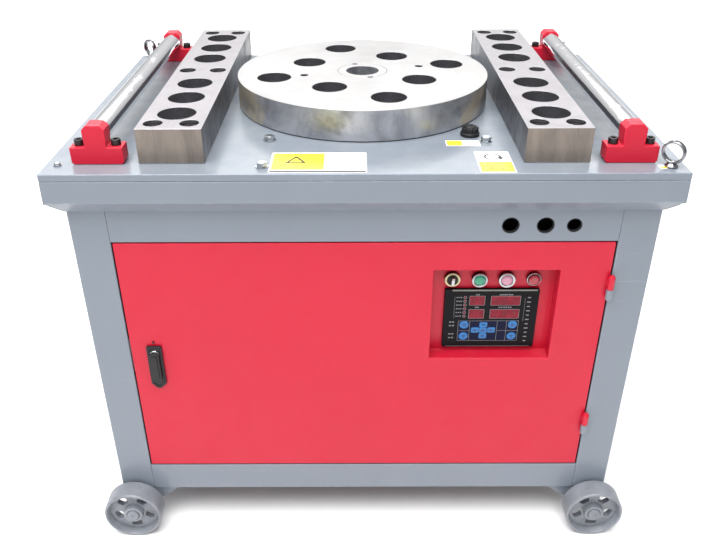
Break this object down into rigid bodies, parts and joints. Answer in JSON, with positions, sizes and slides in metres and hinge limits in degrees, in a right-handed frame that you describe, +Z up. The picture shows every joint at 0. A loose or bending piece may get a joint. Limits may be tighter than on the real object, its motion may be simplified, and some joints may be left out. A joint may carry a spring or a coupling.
{
  "type": "rebar bender",
  "caption": "Wheeled steel cabinet with a motor-driven bending disc between socket blocks and guide rollers on its table, and a control recess in its hinged door.",
  "frame": {"origin": "on the floor below the middle of the table; the disc stands 18 mm behind it", "axes": "+X to the operator's right along the table, +Y away from the operator, +Z up along the disc's axis"},
  "size_m": [0.8644, 0.6194, 0.7088],
  "materials": {
    "grey_paint": "satin enamel, blue-grey",
    "red_paint": "semi-gloss enamel, red",
    "machined_steel": "milled and turned, lightly oiled",
    "gear_steel": "oil-darkened steel",
    "chrome": "bright",
    "black_plastic": "moulded",
    "cast_iron": "painted casting",
    "motor_paint": "satin enamel, blue",
    "rubber": "matt",
    "wheel_paint": "painted casting",
    "green_lens": "translucent",
    "red_lens": "translucent",
    "white_lens": "translucent, pinkish white"
  },
  "bodies": {
    "machine": {"table_plate": "grey_paint", "front_apron": "grey_paint", "rear_apron": "grey_paint", "left_apron": "grey_paint", "right_apron": "grey_paint", "front_top_rail": "grey_paint", "front_bottom_rail": "grey_paint", "left_panel": "grey_paint", "right_panel": "grey_paint", "motor_bracket": "grey_paint", "hinge_pin_upper": "grey_paint", "hinge_pin_lower": "grey_paint", "corner_post_front_left": "grey_paint", "wheel_hanger_front_left": "grey_paint", "roller_bracket_front_left": "red_paint", "corner_post_front_right": "grey_paint", "wheel_hanger_front_right": "grey_paint", "roller_bracket_front_right": "red_paint", "corner_post_rear_left": "grey_paint", "wheel_hanger_rear_left": "grey_paint", "roller_bracket_rear_left": "red_paint", "corner_post_rear_right": "grey_paint", "wheel_hanger_rear_right": "grey_paint", "roller_bracket_rear_right": "red_paint", "rear_panel": "red_paint", "socket_block_left": "machined_steel", "socket_block_right": "machined_steel", "eyebolt_front_right": "chrome", "eyebolt_rear_left": "chrome", "oil_filler_cap": "black_plastic", "gearbox_housing": "cast_iron", "gearbox_cover": "cast_iron", "motor": "motor_paint", "drive_belt": "rubber"},
    "disc": {"bending_disc": "machined_steel", "spindle": "machined_steel", "bull_gear": "gear_steel"},
    "layshaft": {"layshaft_pinion": "gear_steel", "layshaft_wheel": "gear_steel"},
    "input_drive": {"input_shaft": "gear_steel", "driven_pulley": "cast_iron"},
    "motor_rotor": {"motor_pulley": "cast_iron"},
    "left_roller": {"guide_roller_left": "chrome"},
    "right_roller": {"guide_roller_right": "chrome"},
    "door": {"door": "red_paint", "control_tray": "red_paint", "control_panel": "black_plastic", "hinge_sleeve_upper": "red_paint", "hinge_sleeve_lower": "red_paint", "lock_housing": "black_plastic", "white_lamp": "white_lens"},
    "lock_barrel": {"lock_barrel": "chrome"},
    "lock_handle": {"lock_handle": "black_plastic"},
    "key_switch": {"key_switch": "chrome"},
    "green_button": {"green_button": "green_lens"},
    "red_button": {"red_button": "red_lens"},
    "wheel_front_left": {"wheel_front_left": "wheel_paint"},
    "wheel_front_right": {"wheel_front_right": "wheel_paint"},
    "wheel_rear_left": {"wheel_rear_left": "wheel_paint"},
    "wheel_rear_right": {"wheel_rear_right": "wheel_paint"}
  },
  "joints": [
    {"name": "disc_spin", "type": "hinge", "parent": "machine", "child": "disc", "pos_m": [0, 0.018, 0.655], "axis": [0, 0, 1], "continuous": true},
    {"name": "layshaft_spin", "type": "hinge", "parent": "machine", "child": "layshaft", "pos_m": [0.10539, 0.13504, 0.6], "axis": [0, 0, 1], "continuous": true},
    {"name": "input_spin", "type": "hinge", "parent": "machine", "child": "input_drive", "pos_m": [0.00202, 0.17267, 0.56], "axis": [0, 0, 1], "continuous": true},
    {"name": "motor_spin", "type": "hinge", "parent": "machine", "child": "motor_rotor", "pos_m": [-0.235, -0.042, 0.484], "axis": [0, 0, 1], "continuous": true},
    {"name": "left_roller_spin", "type": "hinge", "parent": "machine", "child": "left_roller", "pos_m": [-0.3545, 0.0065, 0.6923], "axis": [0, 1, 0], "continuous": true},
    {"name": "right_roller_spin", "type": "hinge", "parent": "machine", "child": "right_roller", "pos_m": [0.3545, 0.0065, 0.6923], "axis": [0, 1, 0], "continuous": true},
    {"name": "door_swing", "type": "hinge", "parent": "machine", "child": "door", "pos_m": [0.35125, -0.2786, 0.33605], "axis": [0, 0, 1], "range_deg": [0, 165]},
    {"name": "lock_turn", "type": "hinge", "parent": "door", "child": "lock_barrel", "pos_m": [-0.315, -0.2733, 0.3558], "axis": [0, 1, 0], "range_deg": [0, 90]},
    {"name": "lock_lift", "type": "hinge", "parent": "lock_barrel", "child": "lock_handle", "pos_m": [-0.315, -0.2789, 0.3588], "axis": [-1, 0, 0], "range_deg": [0, 40]},
    {"name": "key_turn", "type": "hinge", "parent": "door", "child": "key_switch", "pos_m": [0.129, -0.2483, 0.4715], "axis": [0, 1, 0], "range_deg": [0, 90]},
    {"name": "green_press", "type": "slide", "parent": "door", "child": "green_button", "axis": [0, 1, 0], "range_m": [0, 0.0035], "stiffness_N_per_m": 400},
    {"name": "red_press", "type": "slide", "parent": "door", "child": "red_button", "axis": [0, 1, 0], "range_m": [0, 0.0035], "stiffness_N_per_m": 400},
    {"name": "wheel_front_left_spin", "type": "hinge", "parent": "machine", "child": "wheel_front_left", "pos_m": [-0.3849, -0.293, 0.0466], "axis": [0, 1, 0], "continuous": true},
    {"name": "wheel_front_right_spin", "type": "hinge", "parent": "machine", "child": "wheel_front_right", "pos_m": [0.3849, -0.293, 0.0466], "axis": [0, 1, 0], "continuous": true},
    {"name": "wheel_rear_left_spin", "type": "hinge", "parent": "machine", "child": "wheel_rear_left", "pos_m": [-0.3849, 0.293, 0.0466], "axis": [0, 1, 0], "continuous": true},
    {"name": "wheel_rear_right_spin", "type": "hinge", "parent": "machine", "child": "wheel_rear_right", "pos_m": [0.3849, 0.293, 0.0466], "axis": [0, 1, 0], "continuous": true}
  ],
  "couplings": [
    {"joint": "layshaft_spin", "follows": "disc_spin", "ratio": -3.2},
    {"joint": "input_spin", "follows": "disc_spin", "ratio": 8.5333},
    {"joint": "motor_spin", "follows": "disc_spin", "ratio": 17.067}
  ]
}
